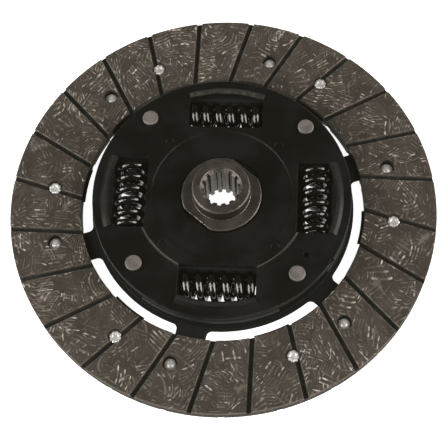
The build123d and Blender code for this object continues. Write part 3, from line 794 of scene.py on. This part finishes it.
class Finishes:
    """Every finish of the disc, made once."""

    def __init__(self) -> None:
        """Makes every material."""
        effects = EffectGroups()
        outer = BlackPaintFinish(
            "spring_black_oxide", bare=1.0, paint=srgb(86, 84, 80), faded=srgb(75, 73, 69),
            gloss=(0.09, 0.15), skin_scale=420.0, skin_depth=0.012 * MM, shear_roughness=0.0,
            dust=0.02, wear_and_highlight=0.06
        )
        # painted shade: a darker, rougher copy of the spring finish for the spring that sits inside the outer
        # one
        inner = replace(
            outer, name="inner_spring_shaded_black_oxide", bare=0.9, paint=srgb(40, 39, 36),
            faded=srgb(30, 29, 27), gloss=(0.2, 0.28), skin_depth=0.02 * MM, wear_and_highlight=0.04
        )
        self.springs = {"outer": outer.make(effects), "inner": inner.make(effects)}
        self.stop_rivets = BareSteelFinish(
            "stop_rivet_steel", bare=0.55, light=srgb(132, 124, 119), dark=srgb(108, 100, 95),
            edge=srgb(150, 142, 136), gloss=(0.5, 0.62), ring_depth=0.004 * MM, pit_scale=900.0,
            side_shade=0.85, wear_and_highlight=0.25
        ).make(effects)
        self.facing_rivets = BareSteelFinish(
            "facing_rivet_zinc", bare=0.4, light=srgb(246, 243, 238), dark=srgb(216, 210, 203),
            edge=srgb(252, 250, 247), gloss=(0.2, 0.28), ring_depth=0.004 * MM, edge_radius=0.1 * MM, wear_and_highlight=0.3
        ).make(effects)
        washers = BareSteelFinish("washer_steel", ring_depth=0.005 * MM).make(effects)
        rings = FrictionRingFinish().make(effects)
        self.solids = {
            "front_facing": FrictionFacingFinish(Face.FRONT).make(effects),
            "rear_facing": FrictionFacingFinish(Face.REAR).make(effects),
            "front_cover": BlackPaintFinish(
                "cover_black_paint", rub_height=16.95 * MM, ring_radius=44.85 * MM
            ).make(effects),
            "drive_plate": BlackPaintFinish(
                "drive_plate_black_paint", paint=srgb(14, 14, 10), faded=srgb(20, 20, 15), wear_and_highlight=0.08
            ).make(effects),
            "cushion_plate": BlackPaintFinish(
                "cushion_spring_steel", paint=srgb(11, 11, 8), faded=srgb(19, 18, 14), gloss=(0.5, 0.62)
            ).make(effects),
            "hub": BareSteelFinish(
                "hub_steel", bare=0.75, light=srgb(98, 89, 82), dark=srgb(76, 69, 63), gloss=(0.36, 0.48),
                oxide_radius=21.3 * MM, side_shade=0.55
            ).make(effects),
            "pressure_ring": washers,
            "disc_spring": washers,
            "rear_friction_ring": rings,
            "front_friction_washer": rings,
        }


# ---- mesh work


def turned_profile(shape: Shape, outline: list[Pair], steps: int) -> None:
    """Turns an outline of (radius, height) points in millimetres once about Z.

    Args:
        shape: the mesh to add to.
        outline: the points, from one end on the axis to the other.
        steps: the number of sides of the round.
    """
    points = [shape.verts.new((radius * MM, 0.0, height * MM)) for radius, height in outline]
    edges = [shape.edges.new(pair) for pair in zip(points, points[1:])]
    bmesh.ops.spin(shape, geom=points + edges, angle=FULL_TURN, steps=steps, use_merge=True, **ABOUT_Z)
    bmesh.ops.remove_doubles(shape, verts=shape.verts, dist=1e-6)
    bmesh.ops.recalc_face_normals(shape, faces=shape.faces)


def finished_piece(name: str, shape: Shape, material: Material, smooth: float = 30.0) -> Piece:
    """Makes an object of a mesh.

    Args:
        name: the piece's name.
        shape: its mesh, in place; it is used up.
        material: its finish.
        smooth: edges flatter than this angle, in degrees, look smooth.

    Returns:
        The object, at the origin.
    """
    mesh = bpy.data.meshes.new(name)
    for face in shape.faces:
        face.smooth = True
    for edge in shape.edges:
        edge.smooth = edge.calc_face_angle(0.0) < math.radians(smooth)
    shape.to_mesh(mesh)
    shape.free()
    mesh.materials.append(material)
    piece = bpy.data.objects.new(name, mesh)
    bpy.context.scene.collection.objects.link(piece)
    return piece


def around(radius: float, first_angle: float, count: int) -> list[Matrix]:
    """Spaces places evenly on a circle.

    Args:
        radius: the circle's radius, in millimetres.
        first_angle: where the first place is, in degrees.
        count: how many there are.

    Returns:
        The moves from the axis to the places.
    """
    out = Matrix.Translation((radius * MM, 0.0, 0.0))
    angles = [math.radians(first_angle + 360 / count * number) for number in range(count)]
    return [Matrix.Rotation(angle, 4, "Z") @ out for angle in angles]


def copies(shape: Shape, places: list[Matrix]) -> Shape:
    """Copies a shape to several places.

    Args:
        shape: the mesh to copy; it is used up.
        places: the moves to the places.

    Returns:
        One mesh with all the copies.
    """
    result = bmesh.new()
    master = bpy.data.meshes.new("master")
    shape.to_mesh(master)
    shape.free()
    for place in places:
        before = len(result.verts)
        result.from_mesh(master)
        result.verts.ensure_lookup_table()
        bmesh.ops.transform(result, matrix=place, verts=result.verts[before:])
    bpy.data.meshes.remove(master)
    return result


class CoilSize(NamedTuple):
    """The sizes of one wound spring, in millimetres."""

    outer_radius: float
    wire: float
    pitch: float
    hand: int


@dataclass
class DamperSprings:
    """Four pairs of springs, one inside the other, in the windows, in millimetres and degrees."""

    circle_radius: float = 49.2
    height: float = 8.3
    window_angle: float = -7.5
    count: int = 4
    length: float = 40.0
    closed_turns: float = 0.75
    squashed_share: float = 0.6
    steps_per_turn: int = 28
    fewest_steps: int = 4
    wire_sides: int = 14
    smooth_angle: float = 50.0
    outer: CoilSize = CoilSize(8.8, 4.0, 6.8, 1)
    inner: CoilSize = CoilSize(4.5, 2.2, 4.4, -1)

    def coil(self, size: CoilSize) -> Shape:
        """Winds one spring along Z from the origin, with closed and ground ends.

        Args:
            size: the spring's sizes.

        Returns:
            Its mesh.
        """
        shape = bmesh.new()
        coil_radius = (size.outer_radius - size.wire / 2) * MM
        wire = size.wire * MM
        travel = self.length * MM - wire / 2
        open_turns = (travel - 2 * self.closed_turns * wire) / (size.pitch * MM)
        circle = bmesh.ops.create_circle(shape, cap_ends=False, radius=wire / 2, segments=self.wire_sides)
        stand_up = Matrix.Translation((coil_radius, 0.0, wire / 4)) @ Matrix.Rotation(math.pi / 2, 4, "X")
        bmesh.ops.transform(shape, matrix=stand_up, verts=circle["verts"])
        section = list(circle["verts"]) + list(shape.edges)
        closed = (self.closed_turns, wire)
        for turns, pitch in (closed, (open_turns, size.pitch * MM), closed):
            steps = max(self.fewest_steps, round(turns * self.steps_per_turn))
            section = bmesh.ops.spin(
                shape, geom=section, dvec=(0.0, 0.0, pitch * turns / steps),
                angle=size.hand * turns * FULL_TURN, steps=steps, **ABOUT_Z
            )["geom_last"]
        for plane, side in ((0.0, -1.0), (self.length * MM, 1.0)):
            bmesh.ops.bisect_plane(
                shape, geom=list(shape.verts) + list(shape.edges) + list(shape.faces),
                plane_co=(0.0, 0.0, plane), plane_no=(0.0, 0.0, side), clear_outer=True
            )
        bmesh.ops.holes_fill(shape, edges=[edge for edge in shape.edges if edge.is_boundary], sides=0)
        bmesh.ops.recalc_face_normals(shape, faces=shape.faces)
        return shape

    def build(self, finishes: Finishes) -> list[Piece]:
        """Makes and places the eight springs.

        Args:
            finishes: the materials.

        Returns:
            The springs.
        """
        made = []
        half = self.length / 2 * MM
        lie_down = Matrix.Rotation(-math.pi / 2, 4, "X")
        seats = around(self.circle_radius, self.window_angle, self.count)
        for number, seat in enumerate(seats, 1):
            place = seat @ Matrix.Translation((0.0, -half, self.height * MM)) @ lie_down
            for label, size in (("outer", self.outer), ("inner", self.inner)):
                shape = copies(self.coil(size), [place])
                piece = finished_piece(
                    f"wound_{label}_spring_{number}", shape, finishes.springs[label], self.smooth_angle
                )
                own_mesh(piece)
                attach(piece, "disc")
                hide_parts(f"{label}_spring_{number}")
                made.append(piece)
        return made


@dataclass
class FacingRivets:
    """Tubular rivets that hold the facings, their ends rolled over in a star, in millimetres."""

    circle_radius: float = 91.5
    count: int = 6
    first_angle: float = 48.5
    head_face: float = -0.1
    head_radius: float = 3.25
    head_height: float = 1.5
    head_rim: float = 0.35
    shank_radius: float = 2.05
    bore_radius: float = 1.3
    bore_depth: float = 0.9
    seat: float = 2.0
    rolled_radius: float = 3.3
    rolled_height: float = 0.75
    petals: int = 8
    petal_depth: float = 0.16
    petal_droop: float = 0.22
    gap_sharpness: int = 3
    spin_step: float = 37.0
    dome_shares: tuple[float, ...] = (0.0, 0.2, 0.4, 0.6, 0.8, 0.96)
    sides: int = 64
    smooth_angle: float = 42.0

    def outline(self) -> list[Pair]:
        """Draws the rivet's section.

        Returns:
            The points, from the middle of its head to the floor of its bore.
        """
        face, head, bore, roll = self.head_face, self.head_radius, self.bore_radius, self.rolled_radius
        seat = self.seat
        top = seat + self.rolled_height
        floor = top - self.bore_depth
        middle = (bore + roll) / 2
        rise = self.head_height - self.head_rim
        ball = (head**2 + rise**2) / (2 * rise)
        turns = [math.asin(head / ball) * share for share in self.dome_shares]
        dome = [
            (ball * math.sin(turn), face - self.head_height + ball * (1 - math.cos(turn))) for turn in turns
        ]
        return dome + [
            (head, face - self.head_rim + 0.08), (head - 0.05, face),
            (self.shank_radius, face), (self.shank_radius, seat),
            (roll - 0.08, seat), (roll, seat + 0.1), (roll, seat + 0.26), (roll - 0.22, seat + 0.5),
            (middle + 0.3, top - 0.05), (middle, top), (middle - 0.35, top - 0.06),
            (bore + 0.2, top - 0.16), (bore + 0.04, top - 0.36), (bore, floor + 0.12),
            (bore - 0.12, floor), (bore * 0.5, floor + 0.03), (0.0, floor + 0.05),
        ]

    def rivet(self) -> Shape:
        """Makes one rivet on the axis, its rolled end split into petals.

        Returns:
            Its mesh.
        """
        shape = bmesh.new()
        turned_profile(shape, self.outline(), self.sides)
        for vert in shape.verts:
            radius = math.hypot(vert.co.x, vert.co.y) / MM
            height = vert.co.z / MM
            if height < self.seat - 0.01 or radius < self.bore_radius + 0.1:
                continue
            angle = math.atan2(vert.co.y, vert.co.x) * self.petals
            reach = (radius - self.bore_radius) / (self.rolled_radius - self.bore_radius)
            gap = max(0.0, -math.cos(angle)) ** self.gap_sharpness
            pull = 1.0 - self.petal_depth * gap * reach
            vert.co.x *= pull
            vert.co.y *= pull
            vert.co.z -= self.petal_droop * MM * gap * reach * (height - self.seat) / self.rolled_height
        return shape

    def build(self, finishes: Finishes) -> list[Piece]:
        """Makes both sets of six.

        Args:
            finishes: the materials.

        Returns:
            The two sets, each one piece.
        """
        made = []
        for face in Face:
            places = []
            for number, seat in enumerate(around(self.circle_radius, self.first_angle, self.count)):
                own_turn = Matrix.Rotation(math.radians(self.spin_step * number), 4, "Z")
                places.append(turned_over(face) @ seat @ own_turn)
            shape = copies(self.rivet(), places)
            name = f"rolled_{face.value}_rivets"
            piece = finished_piece(name, shape, finishes.facing_rivets, self.smooth_angle)
            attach(piece, "disc")
            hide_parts(f"{face.value}_facing_rivets")
            made.append(piece)
        return made


@dataclass
class StopRivets:
    """The four heavy rivets that join the side plates, in millimetres."""

    circle_radius: float = 59.3
    count: int = 4
    first_angle: float = 35.8
    rear_seat: float = -0.4
    plate_inner_face: float = 3.4
    cover_inner_face: float = 13.2
    cover_face: float = 16.2
    shank_radius: float = 3.2
    body_radius: float = 4.5
    front_head: Pair = (4.3, 2.1)
    rear_head: Pair = (4.6, 1.8)
    sides: int = 56
    smooth_angle: float = 40.0

    @staticmethod
    def head(radius: float, height: float) -> list[Pair]:
        """Draws a head's section, with soft corners and a shallow dish.

        Args:
            radius: the head's radius.
            height: how high it stands above its seat.

        Returns:
            The points, from its middle out and down to the seat.
        """
        return [
            (0.0, height - 0.05), (radius * 0.3, height - 0.03), (radius * 0.6, height),
            (radius * 0.88, height - 0.02), (radius * 0.95, height - 0.14),
            (radius * 0.985, height - 0.34), (radius, height - 0.6),
            (radius * 0.995, 0.12), (radius * 0.97, 0.0),
        ]

    def build(self, finishes: Finishes) -> list[Piece]:
        """Makes the four rivets as one piece.

        Args:
            finishes: the materials.

        Returns:
            The piece, alone in a list.
        """
        front = [(radius, self.cover_face + height) for radius, height in self.head(*self.front_head)]
        rear = [(radius, self.rear_seat - height) for radius, height in self.head(*self.rear_head)]
        shank, body = self.shank_radius, self.body_radius
        middle = [
            (shank, self.rear_seat), (shank, self.plate_inner_face),
            (body, self.plate_inner_face), (body, self.cover_inner_face),
            (shank, self.cover_inner_face), (shank, self.cover_face),
        ]
        shape = bmesh.new()
        turned_profile(shape, rear + middle + front[::-1], self.sides)
        rivets = copies(shape, around(self.circle_radius, self.first_angle, self.count))
        piece = finished_piece("headed_stop_rivets", rivets, finishes.stop_rivets, self.smooth_angle)
        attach(piece, "disc")
        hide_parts("stop_rivets")
        return [piece]


# ---- carried-over solids


def dress_solids(finishes: Finishes) -> None:
    """Gives each solid that keeps its own shape its material.

    Args:
        finishes: the materials.
    """
    for name, material in finishes.solids.items():
        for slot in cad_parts[name].material_slots:
            slot.material = material
        LOG.info("dressed %s in %s", name, material.name)


# ---- studio


class Softbox(NamedTuple):
    """One soft light that faces the disc: angles in degrees, size in metres, power in watts."""

    name: str
    azimuth: float
    elevation: float
    size: Pair
    power: float


@dataclass
class Studio:
    """Floor, soft light and camera."""

    floor_height: float = -3.95 * MM
    floor_size: float = 6.0
    floor_shade: Colour = (0.92, 0.92, 0.92, 1.0)
    floor_glow: float = 0.95
    white: Colour = (1.0, 1.0, 1.0, 1.0)
    walls_ramp: Ramp = (0.0, 0.5, 0.16, 0.07)
    below_ramp: Ramp = (-0.02, -0.1, 0.0, 0.8)
    softboxes: tuple[Softbox, ...] = (
        Softbox("key_softbox", 190.0, 27.0, (1.35, 1.3), 33.0),
        Softbox("fill_softbox", 350.0, 27.0, (1.35, 1.3), 31.0),
        Softbox("high_key_softbox", 196.0, 63.0, (0.45, 0.45), 2.6),
        Softbox("high_fill_softbox", 344.0, 63.0, (0.45, 0.45), 2.4),
    )
    distance: float = 600.1 * MM
    elevation: float = 67.0
    aim: tuple[float, float, float] = (-1.98 * MM, -7.60 * MM, 0.0)
    roll: float = -4.92
    lens: float = 91.6
    sensor: float = 36.0
    clip: Pair = (0.01, 20.0)
    light_distance: float = 1.6
    flare: float = 0.0055
    flare_tint: tuple[float, float, float] = (1.0, 0.94, 0.58)

    def floor(self) -> None:
        """A pale sheet that the disc lies on, clear when seen from below."""
        shape = bmesh.new()
        bmesh.ops.create_grid(shape, x_segments=2, y_segments=2, size=self.floor_size / 2)
        bmesh.ops.translate(shape, verts=shape.verts, vec=(0.0, 0.0, self.floor_height))
        glow = {"Emission_Color": self.white, "Emission_Strength": self.floor_glow}
        matt = {"Roughness": 0.9, "Specular_IOR_Level": 0.0, "Base_Color": self.floor_shade}
        surface = Surface("studio_floor", **matt, **glow)
        graph = surface.graph
        side = graph.node("ShaderNodeNewGeometry").outputs["Backfacing"]
        clear = graph.node("ShaderNodeBsdfTransparent").outputs[0]
        both = graph.node("ShaderNodeMixShader", {0: side, 1: surface.shader.outputs[0], 2: clear}).outputs[0]
        graph.feed(surface.material.node_tree.nodes["Material Output"].inputs["Surface"], both)
        finished_piece("studio_floor", shape, surface.material)

    def world(self) -> None:
        """Bright low walls under a dark ceiling, and white light below the floor."""
        world = bpy.data.worlds.new("studio")
        bpy.context.scene.world = world
        world.use_nodes = True
        graph = Graph(world.node_tree)
        place = graph.node("ShaderNodeTexCoord").outputs["Generated"]
        rise = graph.parts(place)[2]
        level = graph.largest(graph.step(rise, *self.walls_ramp), graph.step(rise, *self.below_ramp))
        background = world.node_tree.nodes["Background"]
        graph.feed(background.inputs["Strength"], level)
        graph.feed(background.inputs["Color"], self.white)

    def hang(self, softbox: Softbox) -> None:
        """Hangs one softbox.

        Args:
            softbox: which one.
        """
        light = bpy.data.lights.new(softbox.name, "AREA")
        light.shape = "RECTANGLE"
        light.size, light.size_y = softbox.size
        light.energy = softbox.power
        lamp = bpy.data.objects.new(softbox.name, light)
        turn, rise = math.radians(softbox.azimuth), math.radians(softbox.elevation)
        direction = Vector((math.cos(turn) * math.cos(rise), math.sin(turn) * math.cos(rise), math.sin(rise)))
        lamp.location = direction * self.light_distance
        lamp.rotation_euler = direction.to_track_quat("Z", "Y").to_euler()
        bpy.context.scene.collection.objects.link(lamp)

    def camera(self) -> None:
        """Sets up the camera."""
        rise = math.radians(self.elevation)
        back = Vector((0.0, -math.cos(rise), math.sin(rise)))
        camera = bpy.data.cameras.new("camera")
        camera.lens = self.lens
        camera.sensor_width = self.sensor
        camera.clip_start, camera.clip_end = self.clip
        eye = bpy.data.objects.new("camera", camera)
        turn = back.to_track_quat("Z", "Y").to_matrix() @ Matrix.Rotation(math.radians(self.roll), 3, "Z")
        eye.matrix_world = Matrix.Translation(Vector(self.aim) + back * self.distance) @ turn.to_4x4()
        bpy.context.scene.collection.objects.link(eye)
        bpy.context.scene.camera = eye

    def build(self) -> None:
        """Makes the whole studio."""
        self.floor()
        self.world()
        for softbox in self.softboxes:
            self.hang(softbox)
        self.camera()
        view = bpy.context.scene.view_settings
        view.view_transform = "Standard"
        view.look = "None"
        view.use_curve_mapping = True
        view.curve_mapping.black_level = tuple(-self.flare * share for share in self.flare_tint)
        view.curve_mapping.update()


def main() -> None:
    """Builds the studio, the finishes and every added piece, and reports them."""
    logging.basicConfig(level=logging.INFO, format="%(message)s")
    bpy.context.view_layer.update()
    Studio().build()
    finishes = Finishes()
    dress_solids(finishes)
    for assembly in (DamperSprings(), FacingRivets(), StopRivets()):
        for piece in assembly.build(finishes):
            LOG.info("%s: %s, %d faces", type(assembly).__name__, piece.name, len(piece.data.polygons))


if __name__ == "__main__":
    main()
